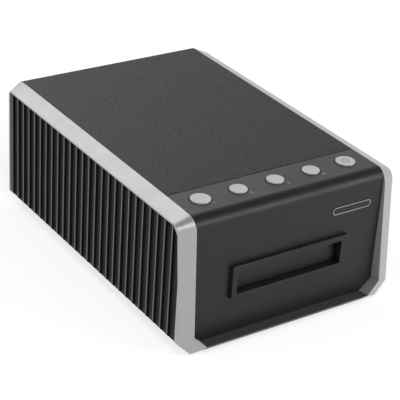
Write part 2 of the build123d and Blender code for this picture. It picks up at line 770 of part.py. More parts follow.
def film_bed():
    """Channel that the film holder runs in, with legs, roller slots, the window and bearing holes."""
    inner = bed_half - bed_wall
    bed = block((-bed_half, bed_half), (bed_front, bed_rear), (bed_bottom, bed_level))
    wall = block((inner, bed_half), (bed_front, bed_rear), (bed_skirt, bed_top))
    for low, high in leg_places():
        wall = wall + block((inner, bed_half), (low, high), (floor_z, bed_skirt + 1))
        foot = block((bed_half - 0.5, bed_half + leg_foot), (low, high), (floor_z, floor_z + leg_foot_thickness))
        foot = foot - rod("z", screw_radius, 0, bed_skirt, bed_half + leg_foot / 2, (low + high) / 2)
        wall = wall + foot
    bed = bed + both_sides(wall)
    ramp = [(bed_front - 1, bed_level + 1), (bed_front - 1, bed_level - ramp_drop),
            (bed_front, bed_level - ramp_drop), (bed_front + ramp_length, bed_level),
            (bed_front + ramp_length, bed_level + 1)]
    bed = bed - prism(ramp, "x", -inner, inner)
    slot_x = roller_width / 2 + 1
    slot_y = shaft_drop + 1.5
    for y in (-shaft_spread, shaft_spread):
        for x in (-roller_place, roller_place):
            bed = bed - block((x - slot_x, x + slot_x), (y - slot_y, y + slot_y), (bed_bottom - 1, bed_level + 1))
        bed = bed - rod("x", bush_radius, -bed_half - 1, bed_half + 1, y, shaft_z)
    half = (window_width / 2, window_length / 2)
    bed = bed - block((-half[0], half[0]), (-half[1], half[1]), (bed_level - glass_thickness - 0.2, bed_level + 1))
    return bed - block((-half[0] + window_lip, half[0] - window_lip), (-half[1] + window_lip, half[1] - window_lip),
                       (bed_bottom - 1, bed_level))


def scan_window():
    half = (window_width / 2 - fit_gap, window_length / 2 - fit_gap)
    level = bed_level - 0.2
    return block((-half[0], half[0]), (-half[1], half[1]), (level - glass_thickness, level))


def track_bridge():
    """Plate across the top of the bed: it carries the lamp and the pivot ears of the pinch arms."""
    end = pivot_y + 7
    bridge = block((-bed_half, bed_half), (-end, end), (bed_top, bridge_top))
    slot_x = roller_width / 2 + 1
    slot_y = pinch_radius + 1.5
    for y in (-shaft_spread, shaft_spread):
        for x in (-roller_place, roller_place):
            bridge = bridge - block((x - slot_x, x + slot_x), (y - slot_y, y + slot_y), (bed_top - 1, bridge_top + 1))
    for y in (-pivot_y, pivot_y):
        ear = block((pivot_ear - 3, pivot_ear), (y - 3, y + 3), (bridge_top - 0.5, pivot_z + ear_over))
        ear = ear - rod("x", pivot_radius, 0, half_width, y, pivot_z)
        bridge = bridge + both_sides(ear)
    half = (window_width / 2, window_length / 2)
    return bridge - block((-half[0], half[0]), (-half[1], half[1]), (bed_top - 1, bridge_top + 1))


# ---------------------------------------------------------------- drive
def gear_outline(teeth, phase):
    """Outline of a spur gear with involute flanks; phase turns its first tooth, in degrees."""
    pitch = gear_module * teeth / 2
    base = pitch * math.cos(math.radians(20))
    tip = pitch + gear_module
    root = pitch - 1.2 * gear_module
    half_tooth = (math.pi * gear_module / 2 - backlash) / 2 / pitch

    def involute(radius):
        ratio = max(radius, base) / base
        angle = math.sqrt(ratio * ratio - 1)
        return angle - math.atan(angle)

    radii = [root, max(base, root + 0.1), pitch, tip]
    points = []
    for tooth in range(teeth):
        middle = math.radians(phase) + 2 * math.pi * tooth / teeth
        offsets = [half_tooth + involute(pitch) - involute(radius) for radius in radii]
        flank = [(radius, offset) for radius, offset in zip(radii, offsets)]
        for radius, offset in flank:
            points.append((radius * math.cos(middle - offset), radius * math.sin(middle - offset)))
        for radius, offset in reversed(flank):
            points.append((radius * math.cos(middle + offset), radius * math.sin(middle + offset)))
    return points


def gear(teeth, y, phase, bore):
    """Spur gear of the train, with its face towards the film bed and a bore for its shaft."""
    places = [(y + a, shaft_z + b) for a, b in gear_outline(teeth, phase)]
    wheel = prism(places, "x", gear_left, gear_right)
    hub = rod("x", bore + 2.0, gear_left - 0.5, gear_right + 0.5, y, shaft_z)
    return wheel + hub - rod("x", bore, gear_left - 1, gear_right + 1, y, shaft_z)


def drive_gear(y):
    """Gear on a drive shaft; a gap, not a tooth, faces each neighbour."""
    return gear(drive_teeth, y, 180.0 / drive_teeth, shaft_radius)


def idler_places():
    """Centres of the three idlers between the two drive gears."""
    first = -shaft_spread + gear_module * (drive_teeth + idler_teeth) / 2
    return [first + index * gear_module * idler_teeth for index in range(3)]


def idler_gear(index):
    phase = 180.0 / idler_teeth if index == 1 else 0.0
    return gear(idler_teeth, idler_places()[index], phase, stud_radius + run_gap)


def motor_pinion():
    """Pinion with the motor's shaft."""
    places = [(pinion_y + a, shaft_z + b) for a, b in gear_outline(pinion_teeth, 0.0)]
    wheel = prism(places, "x", gear_left, gear_right)
    return wheel + rod("x", motor_shaft_radius, plate_left - 6, gear_right + 1, pinion_y, shaft_z)


def drive_shaft(y):
    return rod("x", shaft_radius, plate_left - 0.5, bed_half + bush_flange_thickness + 2, y, shaft_z)


def drive_rollers(y):
    """Two rubber sleeves on a drive shaft."""
    sleeve = rod("x", shaft_drop + roller_proud, roller_place - roller_width / 2, roller_place + roller_width / 2,
                 y, shaft_z)
    return both_sides(sleeve - rod("x", shaft_radius, 0, half_width, y, shaft_z))


def shaft_bushes():
    """Flanged bushes that carry the drive shafts in the walls of the film bed."""
    bushes = []
    for y in (-shaft_spread, shaft_spread):
        bush = rod("x", bush_radius, bed_half - bed_wall, bed_half, y, shaft_z)
        bush = bush + rod("x", bush_flange, bed_half, bed_half + bush_flange_thickness, y, shaft_z)
        bushes.append(both_sides(bush - rod("x", shaft_radius + run_gap, 0, half_width, y, shaft_z)))
    return joined(bushes)


def gear_plate():
    """Steel plate that carries the idler studs and the motor, with two feet on the tray."""
    low = idler_places()[0] - plate_front_run
    high = pinion_y + motor_radius + plate_rear_run
    plate = block((plate_left, plate_right), (low, high), (floor_z, plate_top))
    for y in (idler_places()[0] - 4, idler_places()[2] - 4):
        plate = plate + block((plate_left - plate_foot_length, plate_left), (y, y + plate_foot_width),
                              (floor_z, floor_z + plate_thickness))
    for y in (-shaft_spread, shaft_spread):
        plate = plate - rod("x", shaft_radius + run_gap, plate_left - 1, plate_right + 1, y, shaft_z)
    for y in idler_places():
        plate = plate - rod("x", stud_radius, plate_left - 1, plate_right + 1, y, shaft_z)
    return plate - rod("x", motor_boss, plate_left - 1, plate_right + 1, pinion_y, shaft_z)


def idler_studs():
    """Studs riveted in the gear plate, each with a head that keeps its idler on."""
    studs = []
    for y in idler_places():
        stud = rod("x", stud_radius, plate_left, gear_right + 0.8, y, shaft_z)
        studs.append(stud + rod("x", stud_radius + 1, gear_right + 0.8, gear_right + 1.8, y, shaft_z))
    return joined(studs)


def stepper_motor():
    """Can motor on the outer side of the gear plate, with its centring boss and mounting ears."""
    back = plate_left - motor_length
    can = rod("x", motor_radius, back, plate_left, pinion_y, shaft_z)
    can = chamfer(can.edges().group_by(Axis.X)[0], 1.0)
    can = can + rod("x", motor_boss - fit_gap, plate_left - 0.5, plate_right, pinion_y, shaft_z)
    can = can + block((plate_left - 1, plate_left), (pinion_y - 3, pinion_y + 3),
                      (shaft_z - motor_radius - 3, shaft_z + motor_radius + 1.5))
    return can - rod("x", motor_shaft_radius + run_gap, plate_left - 7, plate_right + 1, pinion_y, shaft_z)


def pinch_arm(end):
    """Sprung bracket over the bridge; end is -1 at the front and 1 at the rear."""
    top = pivot_z + ear_over + arm_room + arm_sheet
    low = bridge_top + 0.5
    inward = end * (shaft_spread - 4)
    outward = end * (pivot_y + 4)
    span = (min(inward, outward), max(inward, outward))
    arm = block((-arm_half_width, arm_half_width), span, (top - arm_sheet, top))
    cheek = block((arm_half_width - arm_sheet, arm_half_width), span, (low, top))
    cheek = cheek + block((pivot_ear + move_gap, pivot_ear + move_gap + arm_sheet),
                          (end * pivot_y - 3.5, end * pivot_y + 3.5), (low, top))
    cheek = cheek - rod("x", pinch_shaft_radius + run_gap, 0, half_width, end * shaft_spread, pinch_z)
    cheek = cheek - rod("x", pivot_radius + run_gap, 0, half_width, end * pivot_y, pivot_z)
    return arm + both_sides(cheek)


def pinch_roller(end):
    """Moulded roller: two rolls on one shaft."""
    y = end * shaft_spread
    roll = rod("x", pinch_radius, roller_place - roller_width / 2, roller_place + roller_width / 2, y, pinch_z)
    axle = rod("x", pinch_shaft_radius, -roller_place - roller_width / 2 - 1.5,
               roller_place + roller_width / 2 + 1.5, y, pinch_z)
    return both_sides(roll) + axle


def pivot_pins():
    """Pins in the bridge's ears, on which the pinch arms turn."""
    end = arm_half_width + 0.8
    return joined([rod("x", pivot_radius, -end, end, y, pivot_z) for y in (-pivot_y, pivot_y)])


# ---------------------------------------------------------------- lamp and optics
def lamp_housing():
    """Box over the window, open below, with a ledge for the diffuser."""
    half = (lamp_half_width, lamp_half_length)
    top = bridge_top + lamp_height
    box = block((-half[0], half[0]), (-half[1], half[1]), (bridge_top, top))
    ledge = lamp_wall * 2
    box = box - block((-half[0] + ledge, half[0] - ledge), (-half[1] + ledge, half[1] - ledge),
                      (bridge_top - 1, bridge_top + 3))
    return box - block((-half[0] + lamp_wall, half[0] - lamp_wall), (-half[1] + lamp_wall, half[1] - lamp_wall),
                       (bridge_top + 3, top - lamp_wall))


def diffuser():
    half = (lamp_half_width - lamp_wall - fit_gap, lamp_half_length - lamp_wall - fit_gap)
    return block((-half[0], half[0]), (-half[1], half[1]), (bridge_top + 3, bridge_top + 3 + diffuser_thickness))


def lamp_board():
    """Lamp board under the top of its housing, with a row of lamps."""
    half = (lamp_half_width - lamp_wall - fit_gap, lamp_half_length - lamp_wall - 1)
    top = bridge_top + lamp_height - lamp_wall
    board = block((-half[0], half[0]), (-half[1], half[1]), (top - board_thickness, top))
    for index in range(-3, 4):
        board = board + block((index * 8 - 1.75, index * 8 + 1.75), (-1.4, 1.4), (top - board_thickness - 1.9, top - 1))
    return board


def mirror_slope(offset):
    """The mirror's line seen from the side: it turns the light from down to rearwards."""
    reach = chimney_half - tub_wall - 2
    middle = floor_z + tub_wall + reach
    return [(-reach + offset, middle + reach + offset), (reach + offset, middle - reach + offset)]


def optics_housing():
    """Dark tub under the window: chimney, mirror slope, tunnel with the lens seat and the sensor's window."""
    x = (-tub_half_width, tub_half_width)
    tub = block(x, (-chimney_half, chimney_half), (floor_z, bed_bottom - fit_gap))
    tub = tub + block(x, (0, tunnel_end), (floor_z, tunnel_top))
    high, low = mirror_slope(0)
    roof = tunnel_top - tub_wall
    side = chimney_half - tub_wall
    inside = [(-side, bed_bottom + 1), (-side, high[1]), high, low, (tunnel_end - tub_wall, low[1]),
              (tunnel_end - tub_wall, roof), (side, roof), (side, bed_bottom + 1)]
    tub = tub - prism(inside, "x", -tub_half_width + tub_wall, tub_half_width - tub_wall)
    axis_z = (low[1] + roof) / 2
    seat = block((-tub_half_width + 1, tub_half_width - 1), (lens_place - 3, lens_place + 3), (floor_z + 1, roof + 1))
    tub = tub + (seat - rod("y", barrel_radius, lens_place - 9, lens_place + 9, 0, axis_z))
    return tub - block((-sensor_width / 2 - 1, sensor_width / 2 + 1), (tunnel_end - tub_wall - 1, tunnel_end + 1),
                       (axis_z - sensor_height / 2 - 0.5, axis_z + sensor_height / 2 + 0.5))


def optic_axis():
    """Height of the lens and the sensor."""
    return (mirror_slope(0)[1][1] + tunnel_top - tub_wall) / 2


def fold_mirror():
    high, low = mirror_slope(0)
    step = mirror_thickness / math.sqrt(2)
    trim = mirror_thickness
    high = (high[0] + trim, high[1] - trim)
    low = (low[0] - trim, low[1] + trim)
    points = [high, low, (low[0] + step, low[1] + step), (high[0] + step, high[1] + step)]
    width = tub_half_width - tub_wall - fit_gap
    return prism(points, "x", -width, width)


def lens_barrel():
    """Lens tube in its seat, with a rim at the front."""
    z = optic_axis()
    low, high = lens_place - barrel_length / 2, lens_place + barrel_length / 2
    barrel = rod("y", barrel_radius, low, high, 0, z) + rod("y", barrel_radius + 0.6, low, low + 3, 0, z)
    return barrel - rod("y", barrel_radius - barrel_wall, low - 1, high + 1, 0, z)


def lens_glass():
    """Two biconvex elements, one near each end of the tube."""
    radius = barrel_radius - barrel_wall
    curve = radius * 2.2
    sag = curve - math.sqrt(curve * curve - radius * radius)

    def half_thickness(reach):
        return lens_rim / 2 + sag - curve + math.sqrt(curve * curve - reach * reach)

    middle, rim, between = half_thickness(0), half_thickness(radius), half_thickness(radius / 2)
    profile = [ThreePointArc((0, -middle), (radius / 2, -between), (radius, -rim)),
               Line((radius, -rim), (radius, rim)),
               ThreePointArc((radius, rim), (radius / 2, between), (0, middle)),
               Line((0, middle), (0, -middle))]
    element = revolve(make_face(profile), axis=Axis.Y)
    inset = barrel_length / 2 - 4
    return joined([Pos(0, y, optic_axis()) * element for y in (lens_place - inset, lens_place + inset)])


def sensor_board():
    z = optic_axis()
    return block((-tub_half_width + 3, tub_half_width - 3), (tunnel_end, tunnel_end + board_thickness),
                 (z - sensor_board_height / 2, z + sensor_board_height / 2))


def ccd_sensor():
    """Line sensor that looks into the tunnel through its window."""
    z = optic_axis()
    return block((-sensor_width / 2, sensor_width / 2), (tunnel_end - sensor_thickness, tunnel_end),
                 (z - sensor_height / 2, z + sensor_height / 2))


# ---------------------------------------------------------------- boards and sockets
def main_board():
    """Long board on the tray's stand-offs, widened at the rear for the sockets, with its main parts."""
    points = [(main_board_left, main_board_front), (main_board_right, main_board_front),
              (main_board_right, main_board_neck), (main_board_wide, main_board_neck),
              (main_board_wide, main_board_rear), (main_board_left, main_board_rear)]
    board = prism(points, "z", board_z, board_z + board_thickness)
    top = board_z + board_thickness
    middle = (main_board_left + main_board_right) / 2
    last = main_board_neck
    chips = [(large_chip, large_chip, last - 5 * large_chip, chip_height),
             (small_chip, middle_chip, last - 8 * middle_chip, chip_height),
             (small_chip_width, small_chip, last - 4 * small_chip, chip_height),
             (plug_width, plug_depth, main_board_front + 5 * plug_depth, plug_depth)]
    for wide, deep, y, height in chips:
        board = board + block((middle - wide / 2, middle + wide / 2), (y - deep / 2, y + deep / 2),
                              (top - 0.5, top + height))
    first = last - 4 * capacitor_height + 4 * capacitor_radius
    for y in (first, first + 2.5 * capacitor_radius):
        board = board + rod("z", capacitor_radius, top - 0.5, top + capacitor_height,
                            main_board_right - capacitor_radius - fit_gap, y)
    for x, y in standoff_places():
        board = board - rod("z", screw_radius, board_z - 1, top + 1, x, y)
    return board


def usb_socket():
    """Square data socket with its tongue."""
    z = board_z + board_thickness
    back = rear_panel_y + socket_proud
    shell = block((usb_centre - usb_width / 2, usb_centre + usb_width / 2), (back - usb_length, back),
                  (z, z + usb_height))
    mouth = [(usb_centre - 4.25, z + 1.5), (usb_centre + 4.25, z + 1.5), (usb_centre + 4.25, z + 6.4),
             (usb_centre + 2.6, z + 9.3), (usb_centre - 2.6, z + 9.3), (usb_centre - 4.25, z + 6.4)]
    shell = shell - prism(mouth, "y", back - 9, back + 1)
    return shell + block((usb_centre - 2.8, usb_centre + 2.8), (back - 10, back - 0.8), (z + 3.7, z + 6.9))


def power_jack():
    """Barrel jack with its centre pin."""
    z = board_z + board_thickness
    back = rear_panel_y + socket_proud
    jack = block((jack_centre - jack_width / 2, jack_centre + jack_width / 2), (back - jack_length, back),
                 (z, z + jack_height))
    centre = z + jack_height / 2
    jack = jack - rod("y", jack_bore, back - jack_depth, back + 1, jack_centre, centre)
    return jack + rod("y", jack_pin, back - jack_depth - 1, back - 0.5, jack_centre, centre)


def button_board():
    """Board under the control strip, with a switch below each button."""
    side = (button_count - 1) / 2 * button_pitch + large_cap_radius + 4
    low = strip_line - button_board_depth / 2
    board = block((-side, side), (low, low + button_board_depth), (button_board_z, button_board_z + board_thickness))
    top = button_board_z + board_thickness
    half = switch_size / 2
    for x, cap in button_places():
        board = board + block((x - half, x + half), (strip_line - half, strip_line + half),
                              (top - 0.5, top + switch_height))
        board = board + rod("z", plunger_radius, top, top + switch_height + 1, x, strip_line)
    for x in board_boss_places():
        board = board - rod("z", screw_radius, button_board_z - 1, top + 1, x, strip_line)
    return board


def flat_cable():
    """Flat cable folded from the underside of the button board to the front of the main board."""
    y = strip_line + 5
    low = board_z + board_thickness + plug_depth
    end = main_board_front + 4.5 * plug_depth
    thick = cable_thickness
    points = [(y, button_board_z), (y, low), (end, low), (end, low - thick), (y - thick, low - thick),
              (y - thick, button_board_z)]
    middle = (main_board_left + main_board_right) / 2
    return prism(points, "x", middle - cable_width / 2, middle + cable_width / 2)


# ---------------------------------------------------------------- all pieces
def pieces():
    """Every sub-part by its name."""
    frame = side_frame()
    panel = fin_panel()
    parts = {
        "base_tray": base_tray(),
        "top_cover": top_cover(),
        "control_strip": control_strip(),
        "front_bezel": front_bezel(),
        "rear_panel": rear_panel(),
        "right_side_frame": frame,
        "left_side_frame": left_of(frame),
        "right_fin_panel": panel,
        "left_fin_panel": left_of(panel),
        "rubber_feet": rubber_feet(),
        "case_screws": case_screws(),
        "chassis_screws": chassis_screws(),
        "front_throat": front_throat(),
        "front_flap": front_flap(),
        "front_flap_pin": front_flap_pin(),
        "rear_throat": rear_throat_tube(),
        "rear_flap": rear_flap(),
        "rear_flap_pin": rear_flap_pin(),
        "film_bed": film_bed(),
        "scan_window": scan_window(),
        "track_bridge": track_bridge(),
        "shaft_bushes": shaft_bushes(),
        "front_drive_shaft": drive_shaft(-shaft_spread),
        "front_drive_rollers": drive_rollers(-shaft_spread),
        "front_drive_gear": drive_gear(-shaft_spread),
        "rear_drive_shaft": drive_shaft(shaft_spread),
        "rear_drive_rollers": drive_rollers(shaft_spread),
        "rear_drive_gear": drive_gear(shaft_spread),
        "front_idler_gear": idler_gear(0),
        "middle_idler_gear": idler_gear(1),
        "rear_idler_gear": idler_gear(2),
        "gear_plate": gear_plate(),
        "idler_studs": idler_studs(),
        "stepper_motor": stepper_motor(),
        "motor_pinion": motor_pinion(),
        "front_pinch_arm": pinch_arm(-1),
        "front_pinch_roller": pinch_roller(-1),
        "rear_pinch_arm": pinch_arm(1),
        "rear_pinch_roller": pinch_roller(1),
        "pivot_pins": pivot_pins(),
        "lamp_housing": lamp_housing(),
        "lamp_board": lamp_board(),
        "diffuser": diffuser(),
        "optics_housing": optics_housing(),
        "fold_mirror": fold_mirror(),
        "lens_barrel": lens_barrel(),
        "lens_glass": lens_glass(),
        "sensor_board": sensor_board(),
        "ccd_sensor": ccd_sensor(),
        "main_board": main_board(),
        "usb_socket": usb_socket(),
        "power_jack": power_jack(),
        "button_board": button_board(),
        "flat_cable": flat_cable(),
    }
    for index, (x, cap) in enumerate(button_places()):
        parts["button_%d" % (index + 1)] = button(x, cap)
    return parts


os.makedirs("parts", exist_ok=True)
for name, shape in pieces().items():
    export_step(shape, "parts/%s.step" % name)
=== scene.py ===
import math

import bpy
from mathutils import Euler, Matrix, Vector


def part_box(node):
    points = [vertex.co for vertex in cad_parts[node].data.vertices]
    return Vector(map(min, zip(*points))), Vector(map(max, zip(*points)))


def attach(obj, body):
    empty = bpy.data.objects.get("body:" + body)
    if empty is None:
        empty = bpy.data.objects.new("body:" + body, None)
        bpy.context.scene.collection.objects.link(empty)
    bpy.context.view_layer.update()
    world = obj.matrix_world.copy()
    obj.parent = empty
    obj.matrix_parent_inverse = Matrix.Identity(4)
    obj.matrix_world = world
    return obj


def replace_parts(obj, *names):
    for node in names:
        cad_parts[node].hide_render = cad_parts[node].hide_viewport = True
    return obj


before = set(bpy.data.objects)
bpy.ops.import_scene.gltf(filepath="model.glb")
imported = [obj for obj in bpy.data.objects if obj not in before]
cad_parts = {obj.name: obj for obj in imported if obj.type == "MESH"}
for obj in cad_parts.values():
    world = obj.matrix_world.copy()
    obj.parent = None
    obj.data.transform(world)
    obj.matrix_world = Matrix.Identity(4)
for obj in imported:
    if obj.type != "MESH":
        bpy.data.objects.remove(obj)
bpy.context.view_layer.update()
scene = bpy.context.scene
MM = 0.001


# ---------------------------------------------------------------- the room
# A desk-top product shot: a pale sheet of paper under the scanner and four square softboxes, at its front
# right, over its front left corner, at its left and high behind it. The lens is about 1.1 m away.
def srgb(code):
    """The linear colour that the shaders use, from an sRGB hex colour."""
    parts = [int(code[start:start + 2], 16) / 255 for start in (1, 3, 5)]
    linear = [part / 12.92 if part <= 0.04045 else ((part + 0.055) / 1.055) ** 2.4 for part in parts]
    return (*linear, 1.0)


def add(tree, kind, settings=None, links=None):
    """Adds a node: settings fill its properties or sockets, links join its sockets to outputs."""
    node = tree.nodes.new(kind)
    for name, value in (settings or {}).items():
        if isinstance(name, str) and hasattr(node, name):
            setattr(node, name, value)
        else:
            node.inputs[name].default_value = value
    for name, output in (links or {}).items():
        tree.links.new(output, node.inputs[name])
    return node


LENS_PLACE = (-0.53953, -0.77686, 0.54801)
LENS_TURN = (61.4846, -3.3686, -33.3415)
FOCAL_LENGTH, FILM_WIDTH = 128.64, 36.0
scene.view_settings.view_transform = "Standard"
lens = bpy.data.cameras.new("lens")
lens.sensor_width, lens.lens = FILM_WIDTH, FOCAL_LENGTH
lens.shift_x, lens.shift_y = -0.0004, 0.0168
lens.clip_start, lens.clip_end = 0.05, 20.0
camera = bpy.data.objects.new("camera", lens)
camera.location = LENS_PLACE
camera.rotation_euler = Euler([math.radians(angle) for angle in LENS_TURN])
scene.collection.objects.link(camera)
scene.camera = camera

# Each softbox has its place and the side of its square in metres, and its power in watts.
LIT_POINT = Vector((0, 0, 0.05))
SOFTBOXES = [("low_front_softbox", (0.95, -1.30, 0.42), 0.80, 11.0),
             ("corner_softbox", (-0.42, -0.82, 1.22), 0.45, 5.0),
             ("left_softbox", (-1.30, 0.10, 0.75), 0.70, 1.8),
             ("back_softbox", (0.10, 1.25, 1.35), 1.20, 10.0)]
for name, place, side, watts in SOFTBOXES:
    lamp = bpy.data.lights.new(name, "AREA")
    lamp.shape = "SQUARE"
    lamp.size = side
    lamp.energy = watts
    box = bpy.data.objects.new(name, lamp)
    box.location = place
    box.rotation_euler = (LIT_POINT - Vector(place)).to_track_quat("-Z", "Y").to_euler()
    scene.collection.objects.link(box)

# White walls up to about the lens's own height, dimming from there to a grey ceiling; only reflections show
# them. WALL_TOP and CEILING are heights on a ball round the scanner, from 0 at its equator to 1 overhead.
WALL_TOP, CEILING, ROOM_LIGHT = 0.45, 0.88, 0.5
world = bpy.data.worlds.new("pale_room")
world.use_nodes = True
sky = world.node_tree
sky.nodes.clear()
path = add(sky, "ShaderNodeLightPath")
reflected = add(sky, "ShaderNodeMath", {"operation": "MAXIMUM"},
                {0: path.outputs["Is Glossy Ray"], 1: path.outputs["Is Transmission Ray"]})
heading = add(sky, "ShaderNodeTexCoord")
height = add(sky, "ShaderNodeSeparateXYZ", links={0: heading.outputs["Generated"]})
ceiling = add(sky, "ShaderNodeValToRGB", links={0: height.outputs["Z"]})
ceiling.color_ramp.elements[0].position = WALL_TOP
ceiling.color_ramp.elements[0].color = srgb("#ffffff")
ceiling.color_ramp.elements[1].position = CEILING
ceiling.color_ramp.elements[1].color = srgb("#5a5a5a")
spread = add(sky, "ShaderNodeBackground", {"Color": srgb("#eeeeee"), "Strength": ROOM_LIGHT})
room = add(sky, "ShaderNodeBackground", {"Strength": 1.0}, {"Color": ceiling.outputs[0]})
shown = add(sky, "ShaderNodeBackground", {"Color": srgb("#ffffff"), "Strength": 1.0})
inside = add(sky, "ShaderNodeMixShader",
             links={0: reflected.outputs[0], 1: spread.outputs[0], 2: room.outputs[0]})
walls = add(sky, "ShaderNodeMixShader",
            links={0: path.outputs["Is Camera Ray"], 1: inside.outputs[0], 2: shown.outputs[0]})
add(sky, "ShaderNodeOutputWorld", links={"Surface": walls.outputs[0]})
scene.world = world

# Matt white paper on a light table: it glows a little, which keeps it white and lights what faces down.
PAPER_SIDE, PAPER_GLOW = 8.0, 0.72
sweep_paper = bpy.data.materials.new("matt_white_paper_sweep")
sweep_paper.use_nodes = True
paper = sweep_paper.node_tree
paper.nodes.clear()
fibre = add(paper, "ShaderNodeBsdfDiffuse", {"Color": srgb("#a8a8a8"), "Roughness": 1.0})
glow = add(paper, "ShaderNodeEmission", {"Color": srgb("#ffffff"), "Strength": PAPER_GLOW})
pale = add(paper, "ShaderNodeAddShader", links={0: fibre.outputs[0], 1: glow.outputs[0]})
add(paper, "ShaderNodeOutputMaterial", links={"Surface": pale.outputs[0]})
bpy.ops.object.select_all(action="DESELECT")
bpy.ops.mesh.primitive_plane_add(size=PAPER_SIDE)
floor = bpy.context.active_object
floor.name = "floor"
floor.data.materials.append(sweep_paper)


# ---------------------------------------------------------------- base tray
# The bottom shell: one charcoal ABS moulding with a sloping lip at the front. Its tool was spark eroded,
# which leaves an even, very fine matt skin. Four self-tapping screws come up through it.
def new_material(name, colour, roughness, **sockets):
    """A material with one surface shader; sockets are more of that shader's own values."""
    made = bpy.data.materials.new(name)
    made.use_nodes = True
    tree = made.node_tree
    tree.nodes.clear()
    values = {"Base Color": srgb(colour), "Roughness": roughness}
    values.update({key.replace("_", " "): value for key, value in sockets.items()})
    surface = add(tree, "ShaderNodeBsdfPrincipled", values)
    add(tree, "ShaderNodeOutputMaterial", links={"Surface": surface.outputs[0]})
    place = add(tree, "ShaderNodeTexCoord")
    return made, tree, surface, place.outputs["Object"]


def shades(tree, factor, dark, light, low=0.3, high=0.7):
    """Colour that runs from dark to light as the factor goes from low to high."""
    ramp = add(tree, "ShaderNodeValToRGB", links={0: factor})
    ramp.color_ramp.elements[0].position = low
    ramp.color_ramp.elements[0].color = srgb(dark)
    ramp.color_ramp.elements[1].position = high
    ramp.color_ramp.elements[1].color = srgb(light)
    return ramp.outputs[0]


def relief(tree, surface, height, depth_mm):
    """Bumps of a real depth on the surface."""
    bump = add(tree, "ShaderNodeBump", {"Distance": depth_mm * MM, "Strength": 1.0}, {"Height": height})
    tree.links.new(bump.outputs[0], surface.inputs["Normal"])


def spread_of(tree, factor, low, high):
    """The factor's usual middle range turned to a value from low to high."""
    ranged = add(tree, "ShaderNodeMapRange",
                 {"From Min": 0.3, "From Max": 0.7, "To Min": low, "To Max": high}, {0: factor})
    return ranged.outputs[0]


def moulded_plastic(name, dark, light, roughness, grain_mm, depth_mm, **sockets):
    """Moulded plastic with an eroded skin: fine even grain, and slow changes of sheen where it cooled."""
    made, tree, surface, place = new_material(name, dark, roughness, **sockets)
    grain = add(tree, "ShaderNodeTexNoise", {"Scale": 1 / (grain_mm * MM), "Detail": 3.0, "Roughness": 0.6},
                {"Vector": place})
    flow = add(tree, "ShaderNodeTexNoise", {"Scale": 1 / (38 * MM), "Detail": 2.0}, {"Vector": place})
    tree.links.new(shades(tree, grain.outputs[0], dark, light), surface.inputs["Base Color"])
    sheen = spread_of(tree, flow.outputs[0], roughness - 0.04, roughness + 0.05)
    tree.links.new(sheen, surface.inputs["Roughness"])
    relief(tree, surface, grain.outputs[0], depth_mm)
    return made


def dress(material, *nodes):
    """Gives carried-over pieces their material."""
    for node in nodes:
        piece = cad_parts[node]
        piece.data.materials.clear()
        piece.data.materials.append(material)


# Spark-eroded ABS, IOR 1.53 when it is smooth: here its pits scatter the sheen, so the value is lower.
# The real grit is 0.1 mm, drawn at 0.45 mm to show.
eroded_abs = moulded_plastic("spark_eroded_charcoal_abs", "#3c3c3e", "#464648", 0.55, 0.45, 0.02, IOR=1.45)
dress(eroded_abs, "base_tray")

# Zinc-plated steel, cold headed: pale blue-grey with a faint haze.
zinc, tree, surface, place = new_material("zinc_plated_steel", "#a9adb2", 0.36, Metallic=1.0)
haze = add(tree, "ShaderNodeTexNoise", {"Scale": 1 / (0.8 * MM), "Detail": 4.0}, {"Vector": place})
tree.links.new(spread_of(tree, haze.outputs[0], 0.28, 0.46), surface.inputs["Roughness"])
tree.links.new(shades(tree, haze.outputs[0], "#9da2a8", "#b4b7ba"), surface.inputs["Base Color"])
dress(zinc, "chassis_screws")


def start_piece():
    """Nothing may stay selected before a new primitive is added."""
    if bpy.context.mode != "OBJECT":
        bpy.ops.object.mode_set(mode="OBJECT")
    bpy.ops.object.select_all(action="DESELECT")


def pick(piece, kind, wanted):
    """In edit mode, selects only the faces, edges or points whose middle passes the test."""
    bpy.ops.object.mode_set(mode="EDIT")
    bpy.ops.mesh.select_mode(type=kind)
    bpy.ops.mesh.select_all(action="DESELECT")
    bpy.ops.object.mode_set(mode="OBJECT")
    points = piece.data.vertices
    for item in {"VERT": points, "EDGE": piece.data.edges, "FACE": piece.data.polygons}[kind]:
        corners = [item.index] if kind == "VERT" else item.vertices
        middle = sum((points[corner].co for corner in corners), Vector()) / len(corners)
        item.select = bool(wanted(middle, item))
    bpy.ops.object.mode_set(mode="EDIT")


SHARP_ANGLE = math.radians(35)


def finish_piece(piece, name, body, material):
    """Brings the piece's place into its mesh, names and shades it, and fixes it to its body."""
    start_piece()
    piece.select_set(True)
    bpy.context.view_layer.objects.active = piece
    for modifier in list(piece.modifiers):
        bpy.ops.object.modifier_apply(modifier=modifier.name)
    bpy.ops.object.transform_apply(location=True, rotation=True, scale=True)
    bpy.ops.object.shade_smooth_by_angle(angle=SHARP_ANGLE)
    piece.name = name
    piece.data.materials.clear()
    piece.data.materials.append(material)
    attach(piece, body)
    return piece


